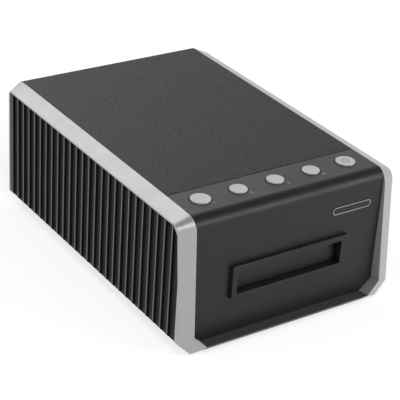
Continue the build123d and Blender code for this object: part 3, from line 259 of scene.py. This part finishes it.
# The four screws are seen in their wells: a domed pan head with a cross recess, punched in, over a plain
# shank. One is modelled under its well and copied to the other three.
low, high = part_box("case_screws")
HEAD_RADIUS, HEAD_DEPTH, HEAD_ROUND, SHANK_RADIUS = 3.0 * MM, 2.0 * MM, 0.9 * MM, 1.45 * MM
RECESS_WIDTH, RECESS_LENGTH, RECESS_DEPTH = 0.85 * MM, 3.4 * MM, 1.2 * MM
first = Vector((low.x + HEAD_RADIUS, low.y + HEAD_RADIUS, low.z))
start_piece()
bpy.ops.mesh.primitive_cylinder_add(vertices=48, radius=HEAD_RADIUS, depth=HEAD_DEPTH,
                                    location=first + Vector((0, 0, HEAD_DEPTH / 2)))
screw = bpy.context.active_object
pick(screw, "FACE", lambda middle, face: face.normal.z > 0.9)
bpy.ops.mesh.inset(thickness=HEAD_RADIUS - SHANK_RADIUS)
bpy.ops.mesh.extrude_region_move(TRANSFORM_OT_translate={"value": (0, 0, high.z - low.z - HEAD_DEPTH)})
pick(screw, "EDGE", lambda middle, edge: middle.z < -HEAD_DEPTH / 2 + 0.01 * MM)
bpy.ops.mesh.bevel(offset=HEAD_ROUND, segments=5, profile=0.6)
bpy.ops.object.mode_set(mode="OBJECT")
for turn in (0.0, 90.0):
    bpy.ops.object.select_all(action="DESELECT")
    bpy.ops.mesh.primitive_cube_add(size=1.0, location=first, rotation=(0, 0, math.radians(turn)))
    cutter = bpy.context.active_object
    cutter.scale = (RECESS_LENGTH, RECESS_WIDTH, 2 * RECESS_DEPTH)
    punch = screw.modifiers.new("cross_recess", "BOOLEAN")
    punch.operation, punch.solver, punch.object = "DIFFERENCE", "EXACT", cutter
    bpy.ops.object.select_all(action="DESELECT")
    bpy.context.view_layer.objects.active = screw
    screw.select_set(True)
    bpy.ops.object.modifier_apply(modifier=punch.name)
    bpy.data.objects.remove(cutter)
copies = [screw]
for across, along in ((high.x - HEAD_RADIUS, first.y), (first.x, high.y - HEAD_RADIUS),
                      (high.x - HEAD_RADIUS, high.y - HEAD_RADIUS)):
    other = screw.copy()
    other.data = screw.data.copy()
    other.location = screw.location + Vector((across - first.x, along - first.y, 0))
    scene.collection.objects.link(other)
    copies.append(other)
start_piece()
for other in copies:
    other.select_set(True)
bpy.context.view_layer.objects.active = screw
bpy.ops.object.join()
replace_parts(finish_piece(screw, "cross_recess_case_screws", "case", zinc), "case_screws")

# Nitrile rubber, compression moulded: dead matt, dusty black.
rubber, tree, surface, place = new_material("nitrile_rubber", "#191919", 0.82, IOR=1.45)
dust = add(tree, "ShaderNodeTexNoise", {"Scale": 1 / (1.4 * MM), "Detail": 5.0}, {"Vector": place})
tree.links.new(shades(tree, dust.outputs[0], "#141414", "#232322"), surface.inputs["Base Color"])
relief(tree, surface, dust.outputs[0], 0.03)
dress(rubber, "rubber_feet", "front_drive_rollers", "rear_drive_rollers")


# ---------------------------------------------------------------- film way and lamp box
# The channel that the holder runs through, its bridge and the tubes at both ends are black ABS with a
# matt, light-killing skin. The window is float glass; the lamp box over it is white ABS.
flat_abs = moulded_plastic("matt_black_abs", "#101011", "#18181a", 0.62, 0.6, 0.03, IOR=1.42)
dress(flat_abs, "film_bed", "track_bridge", "front_throat", "rear_throat", "optics_housing", "lens_barrel")

# Float glass, IOR 1.52: clear, with the slightest waviness from the rollers.
glass, tree, surface, place = new_material("clear_float_glass", "#f2fbf8", 0.02, IOR=1.52)
surface.inputs["Transmission Weight"].default_value = 1.0
wave = add(tree, "ShaderNodeTexNoise", {"Scale": 1 / (14 * MM), "Detail": 1.0}, {"Vector": place})
relief(tree, surface, wave.outputs[0], 0.004)
dress(glass, "scan_window", "lens_glass")

# White reflector ABS, IOR 1.53: a smooth skin with faint flow marks.
white_abs = moulded_plastic("white_reflector_abs", "#dcdcda", "#e6e6e3", 0.35, 2.0, 0.01, IOR=1.53)
dress(white_abs, "lamp_housing")

# Opal acrylic, IOR 1.49: cast, milk white and even.
opal = moulded_plastic("opal_acrylic", "#e9e9e6", "#f2f2f0", 0.3, 3.0, 0.005, IOR=1.49)
dress(opal, "diffuser")

# Front-silvered mirror glass: aluminium under a thin quartz coat, with fine dust on it.
silvered, tree, surface, place = new_material("front_silvered_mirror", "#e8eaec", 0.03, Metallic=1.0)
specks = add(tree, "ShaderNodeTexNoise", {"Scale": 1 / (0.9 * MM), "Detail": 6.0}, {"Vector": place})
tree.links.new(spread_of(tree, specks.outputs[0], 0.01, 0.08), surface.inputs["Roughness"])
dress(silvered, "fold_mirror")


# ---------------------------------------------------------------- drive and pinch rollers
# Turned steel shafts in sintered bronze bushes, acetal gears on riveted studs, a pressed-steel plate and
# two pressed-steel pinch arms, and a can stepper motor with a brass pinion.
def rolled_metal(name, dark, light, roughness, grain_mm):
    """Metal with fine parallel marks along X from turning or rolling."""
    made, tree, surface, place = new_material(name, light, roughness, Metallic=1.0)
    stretched = add(tree, "ShaderNodeMapping", {"Scale": (0.05, 1.0, 1.0)}, {"Vector": place})
    marks = add(tree, "ShaderNodeTexNoise", {"Scale": 1 / (grain_mm * MM), "Detail": 4.0},
                {"Vector": stretched.outputs[0]})
    tree.links.new(shades(tree, marks.outputs[0], dark, light), surface.inputs["Base Color"])
    sheen = spread_of(tree, marks.outputs[0], roughness - 0.08, roughness + 0.1)
    tree.links.new(sheen, surface.inputs["Roughness"])
    relief(tree, surface, marks.outputs[0], 0.006)
    return made


# Rolled and turned steel, drawn can steel, oil-filled bronze and machined brass. Their marks are under
# 0.1 mm wide on the real pieces, and drawn at 0.3 to 0.9 mm to show.
steel = rolled_metal("cold_rolled_steel", "#85868a", "#b5b6b9", 0.32, 0.5)
dress(steel, "front_drive_shaft", "rear_drive_shaft", "gear_plate", "idler_studs", "front_pinch_arm",
      "rear_pinch_arm", "pivot_pins", "front_flap_pin", "rear_flap_pin")
can_steel = rolled_metal("drawn_steel_can", "#6e7074", "#a2a4a7", 0.38, 0.9)
dress(can_steel, "stepper_motor")
bronze = rolled_metal("sintered_bronze", "#7a5c38", "#a07a4a", 0.5, 0.3)
dress(bronze, "shaft_bushes")
brass = rolled_metal("machined_brass", "#b08d46", "#d2b068", 0.28, 0.4)
dress(brass, "motor_pinion")

# Acetal, natural: milky white, waxy, with moulding flow.
acetal = moulded_plastic("natural_acetal", "#d9d8d2", "#e6e5df", 0.42, 1.2, 0.01, IOR=1.48)
dress(acetal, "front_drive_gear", "rear_drive_gear", "front_idler_gear", "middle_idler_gear",
      "rear_idler_gear", "front_pinch_roller", "rear_pinch_roller")


# ---------------------------------------------------------------- boards and sockets
# Glass-epoxy boards under green solder resist, a line sensor in a ceramic case, a tinned data socket, a
# black nylon power socket and a folded flat cable.
# Green resist, IOR 1.52, over glass weave, with paler lines where copper tracks run under it.
boards, tree, surface, place = new_material("green_solder_resist", "#0f3d22", 0.3, IOR=1.52)
tracks = add(tree, "ShaderNodeTexBrick",
             {"Scale": 1 / (6 * MM), "Mortar Size": 0.04, "Color1": srgb("#0f3d22"),
              "Color2": srgb("#15492a"), "Mortar": srgb("#1f6a3c")}, {"Vector": place})
weave = add(tree, "ShaderNodeTexNoise", {"Scale": 1 / (0.9 * MM), "Detail": 2.0}, {"Vector": place})
tree.links.new(tracks.outputs[0], surface.inputs["Base Color"])
tree.links.new(spread_of(tree, weave.outputs[0], 0.22, 0.4), surface.inputs["Roughness"])
relief(tree, surface, tracks.outputs[1], 0.03)
dress(boards, "main_board", "button_board", "sensor_board", "lamp_board")

# Fired alumina, tinned sheet steel, glass-filled nylon and polyester film, each a single moulding or sheet.
ceramic = moulded_plastic("alumina_sensor_case", "#33343b", "#3d3e46", 0.4, 0.8, 0.01, IOR=1.6)
dress(ceramic, "ccd_sensor")
tinned = rolled_metal("tinned_steel_shell", "#9d9fa3", "#c6c7c9", 0.25, 0.6)
dress(tinned, "usb_socket")
nylon = moulded_plastic("black_nylon", "#121213", "#1c1c1e", 0.38, 0.7, 0.01, IOR=1.53)
dress(nylon, "power_jack")
ribbon = moulded_plastic("polyester_flat_cable", "#d6d5cf", "#e2e1dc", 0.35, 1.0, 0.01, IOR=1.57)
dress(ribbon, "flat_cable")


# ---------------------------------------------------------------- side frames and fin panels
# Each frame is one ABS moulding sprayed with fine silver paint under a satin lacquer. The ribbed panel set
# in it is bare black ABS with upright fins, whose crests carry a painted highlight, a pale colour.
# Aluminium flake in a clear lacquer: real flakes are under 0.05 mm, drawn at 0.35 mm to show.
silver, tree, surface, place = new_material("satin_silver_paint", "#a4a5a7", 0.34, Metallic=0.45, IOR=1.5)
flake = add(tree, "ShaderNodeTexVoronoi", {"Scale": 1 / (0.35 * MM)}, {"Vector": place})
cloud = add(tree, "ShaderNodeTexNoise", {"Scale": 1 / (16 * MM), "Detail": 3.0}, {"Vector": place})
colour = shades(tree, flake.outputs["Distance"], "#adaeb0", "#98999b", 0.1, 0.9)
tree.links.new(colour, surface.inputs["Base Color"])
tree.links.new(spread_of(tree, cloud.outputs[0], 0.31, 0.38), surface.inputs["Roughness"])
relief(tree, surface, flake.outputs["Distance"], 0.006)
dress(silver, "right_side_frame", "left_side_frame")

# Black ABS, eroded so coarsely between the fins that it hardly shines there. The crests carry a painted
# highlight: a pale colour over the last 0.25 mm of each fin, drawn wider than the real lit edges.
HIGHLIGHT_START, HIGHLIGHT_FULL = 0.25 * MM, 0.05 * MM
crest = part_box("right_fin_panel")[1].x
fin_abs, tree, surface, place = new_material("ribbed_black_abs", "#121213", 0.5, IOR=1.5)
surface.inputs["Specular IOR Level"].default_value = 0.16
grain = add(tree, "ShaderNodeTexNoise", {"Scale": 1 / (0.5 * MM), "Detail": 3.0}, {"Vector": place})
across = add(tree, "ShaderNodeSeparateXYZ", links={0: place})
out = add(tree, "ShaderNodeMath", {"operation": "ABSOLUTE"}, {0: across.outputs["X"]})
# Painted highlight: the colour turns pale over the outermost 0.25 mm of each fin's crest.
painted_crest_highlight_mask = add(tree, "ShaderNodeMapRange", {"From Min": crest - HIGHLIGHT_START, "From Max": crest - HIGHLIGHT_FULL},
             {0: out.outputs[0]})
skin = shades(tree, grain.outputs[0], "#101011", "#171718")
painted_crest_highlight = shades(tree, grain.outputs[0], "#5e5e60", "#747476")
mixed = add(tree, "ShaderNodeMix", {"data_type": "RGBA"})
tree.links.new(painted_crest_highlight_mask.outputs[0], mixed.inputs["Factor"])
tree.links.new(skin, mixed.inputs[6])
tree.links.new(painted_crest_highlight, mixed.inputs[7])
tree.links.new(mixed.outputs[2], surface.inputs["Base Color"])
relief(tree, surface, grain.outputs[0], 0.02)
dress(fin_abs, "right_fin_panel", "left_fin_panel")


# ---------------------------------------------------------------- front bezel and dust flaps
# The bezel is a satin black moulding with a raised surround round the film slot. A thin black flap hangs
# behind the slot on a steel pin, and another behind the exit at the rear, whose panel has the same skin.
# Satin ABS: its pits scatter much of the sheen, so its specular level is under 0.5. The real pits are about
# 0.2 mm wide, drawn at 0.9 mm to show.
satin_abs = moulded_plastic("satin_black_abs", "#151516", "#1c1c1e", 0.42, 0.9, 0.03, Specular_IOR_Level=0.3)
dress(satin_abs, "front_bezel", "rear_panel", "front_flap", "rear_flap")

# A bare pill-shaped plate of gloss black ABS is stuck on at the upper right: a shallow disc, drawn out to
# a stadium, with a hot-stamped silver line a little inside its rim. Its middle lies on the bezel's face.
gloss_abs = moulded_plastic("gloss_black_abs", "#131314", "#161617", 0.2, 4.0, 0.002,
                            Specular_IOR_Level=0.35)
foil = moulded_plastic("silver_stamping_foil", "#9a9b9d", "#a9aaac", 0.35, 0.5, 0.004, Metallic=0.7)
PLATE_LENGTH, PLATE_RADIUS, PLATE_PROUD = 34.0 * MM, 3.1 * MM, 0.4 * MM
LINE_EDGE, LINE_WIDTH, FOIL = 0.3 * MM, 0.5 * MM, 0.03 * MM
PLATE_PLACE = Vector((52.0, -120.0, 80.0)) * MM
HALF_STRAIGHT = PLATE_LENGTH / 2 - PLATE_RADIUS


def from_rim(point):
    """How far a point of the plate's face lies inside its rim."""
    return PLATE_RADIUS - math.hypot(max(abs(point.x) - HALF_STRAIGHT, 0.0), point.y)


start_piece()
bpy.ops.mesh.primitive_cylinder_add(vertices=64, radius=PLATE_RADIUS, depth=2 * PLATE_PROUD,
                                    location=PLATE_PLACE, rotation=(math.pi / 2, 0, 0))
plate = bpy.context.active_object
for side in (-1, 1):
    pick(plate, "VERT", lambda middle, point: middle.x * side > 0.01 * MM)
    bpy.ops.transform.translate(value=(side * HALF_STRAIGHT, 0, 0))
pick(plate, "FACE", lambda middle, face: face.normal.z > 0.9)
bpy.ops.mesh.inset(thickness=LINE_EDGE)
bpy.ops.mesh.inset(thickness=LINE_WIDTH)
pick(plate, "FACE", lambda middle, face: (face.normal.z > 0.9
                                          and LINE_EDGE < from_rim(middle) < LINE_EDGE + LINE_WIDTH))
bpy.ops.mesh.duplicate()
bpy.ops.mesh.separate(type="SELECTED")
bpy.ops.object.mode_set(mode="OBJECT")
line = [piece for piece in bpy.context.selected_objects if piece != plate][0]
stamped = line.modifiers.new("foil", "SOLIDIFY")
stamped.thickness, stamped.offset = FOIL, 1.0
finish_piece(line, "stamped_line", "case", foil)
finish_piece(plate, "pill_plate", "case", gloss_abs)


# ---------------------------------------------------------------- control strip and buttons
# The strip is fine-matt black ABS. Its five round keys are ABS sprayed silver, like the frames but finer,
# and each drops into a dark ring.
# Fine matt ABS, IOR 1.5, under 0.2 mm pits drawn at 0.5 mm, and silver flake drawn at 0.3 mm.
strip_abs = moulded_plastic("fine_matt_black_abs", "#2b2b2d", "#343436", 0.5, 0.5, 0.02, IOR=1.5)
dress(strip_abs, "control_strip")
key_paint, tree, surface, place = new_material("satin_silver_key_paint", "#b9babc", 0.32, Metallic=0.35,
                                               IOR=1.5)
flake = add(tree, "ShaderNodeTexVoronoi", {"Scale": 1 / (0.3 * MM)}, {"Vector": place})
colour = shades(tree, flake.outputs["Distance"], "#bfc0c2", "#b1b2b4", 0.1, 0.9)
tree.links.new(colour, surface.inputs["Base Color"])
relief(tree, surface, flake.outputs["Distance"], 0.004)
dress(key_paint, "button_1", "button_2", "button_3", "button_4", "button_5")

# A soft rubber ring is pressed into the strip round each key, to keep dust out: a flattened bead.
FLANGE, RING_CLEAR, RING_BEAD, RING_FLAT = 1.0 * MM, 0.1 * MM, 0.36 * MM, 0.45
strip_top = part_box("control_strip")[1].z
for number in range(1, 6):
    low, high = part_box("button_%d" % number)
    cap = (high.x - low.x) / 2 - FLANGE
    middle = Vector(((low.x + high.x) / 2, (low.y + high.y) / 2, strip_top))
    start_piece()
    bpy.ops.mesh.primitive_torus_add(location=middle, major_segments=72, minor_segments=14,
                                     major_radius=cap + RING_CLEAR + RING_BEAD, minor_radius=RING_BEAD)
    ring = bpy.context.active_object
    bpy.ops.object.mode_set(mode="EDIT")
    bpy.ops.mesh.select_all(action="SELECT")
    bpy.ops.transform.resize(value=(1, 1, RING_FLAT), center_override=middle)
    finish_piece(ring, "button_ring_%d" % number, "case", rubber)

# Screen-printed pale ink: a plain numeral in front of each of the first four keys, a film thick.
ink = moulded_plastic("pale_screen_ink", "#8c8c8e", "#9c9c9e", 0.6, 0.3, 0.004, IOR=1.5)
INK_FILM, NUMERAL_SIZE, NUMERAL_TURN = 0.04 * MM, 4.6 * MM, math.radians(18)
NUMERAL_ACROSS, NUMERAL_FRONT = 5.8 * MM, 7.6 * MM
for number in range(1, 5):
    low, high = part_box("button_%d" % number)
    start_piece()
    spot = ((low.x + high.x) / 2 + NUMERAL_ACROSS, (low.y + high.y) / 2 - NUMERAL_FRONT, strip_top)
    bpy.ops.object.text_add(location=spot, rotation=(0, 0, NUMERAL_TURN))
    numeral = bpy.context.active_object
    numeral.data.body = str(number)
    numeral.data.size = NUMERAL_SIZE
    numeral.data.align_x, numeral.data.align_y = "CENTER", "CENTER"
    numeral.data.extrude = INK_FILM
    bpy.ops.object.convert(target="MESH")
    finish_piece(bpy.context.active_object, "numeral_%d" % number, "case", ink)

# The fifth key carries the usual mark of an on and off switch, printed in its dish: an open ring and a bar.
MARK_RADIUS, MARK_WIDTH, MARK_OPENING = 2.7 * MM, 0.6 * MM, 34.0
BAR_OFFSET, BAR_LENGTH, PAD_FILM, DISH_DEPTH = 0.72 * MARK_RADIUS, 1.1 * MARK_RADIUS, 0.09 * MM, 0.25 * MM
low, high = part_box("button_5")
dish = Vector(((low.x + high.x) / 2, (low.y + high.y) / 2, high.z - DISH_DEPTH))
bar = dish + Vector((0, BAR_OFFSET, 0))
dark_ink = moulded_plastic("grey_pad_ink", "#6a6a6c", "#77777a", 0.6, 0.3, 0.004, IOR=1.5)
start_piece()
bpy.ops.mesh.primitive_circle_add(vertices=72, radius=MARK_RADIUS, fill_type="NOTHING", location=dish)
mark = bpy.context.active_object
pick(mark, "VERT", lambda middle, point: abs(math.degrees(math.atan2(middle.x, middle.y))) < MARK_OPENING)
bpy.ops.mesh.delete(type="VERT")
bpy.ops.mesh.select_all(action="SELECT")
bpy.ops.mesh.extrude_edges_move(TRANSFORM_OT_translate={"value": (0, 0, 0)})
inward = 1 - MARK_WIDTH / MARK_RADIUS
bpy.ops.transform.resize(value=(inward, inward, 1), center_override=dish)
bpy.ops.mesh.primitive_plane_add(size=1.0, location=bar)
bpy.ops.transform.resize(value=(MARK_WIDTH, BAR_LENGTH, 1), center_override=bar)
bpy.ops.object.mode_set(mode="OBJECT")
film = mark.modifiers.new("ink_film", "SOLIDIFY")
film.thickness, film.offset = PAD_FILM, 1.0
finish_piece(mark, "switch_mark", "button_5", dark_ink)


# ---------------------------------------------------------------- top cover
# A fixed cover, one black ABS moulding that screws down from below. Its tool was etched with a fine
# leather grain: cells about 1.7 mm wide, wavy and running into each other, with sunken lines between them.
# The cells' width and depth, the length of the waves and how far they push the cells are in millimetres.
CELL, CELL_DEPTH, WAVE, WAVE_SHIFT = 1.7, 0.3, 2.5, 1.2
hide, tree, surface, place = new_material("leather_grained_black_abs", "#1e1e1f", 0.5,
                                          Specular_IOR_Level=0.28)
bend = add(tree, "ShaderNodeTexNoise", {"Scale": 1 / (WAVE * MM), "Detail": 2.0}, {"Vector": place})
shift = add(tree, "ShaderNodeMixRGB", {"blend_type": "ADD", "Fac": WAVE_SHIFT * MM},
            {1: place, 2: bend.outputs["Color"]})
cells = add(tree, "ShaderNodeTexVoronoi",
            {"Scale": 1 / (CELL * MM), "feature": "SMOOTH_F1", "Smoothness": 0.4},
            {"Vector": shift.outputs[0]})
# The colour is darker down in the sunken lines between the cells: painted shade in the grain's creases.
colour = shades(tree, cells.outputs["Distance"], "#242425", "#0f0f10", 0.15, 0.75)
tree.links.new(colour, surface.inputs["Base Color"])
relief(tree, surface, cells.outputs["Distance"], -CELL_DEPTH)
dress(hide, "top_cover")
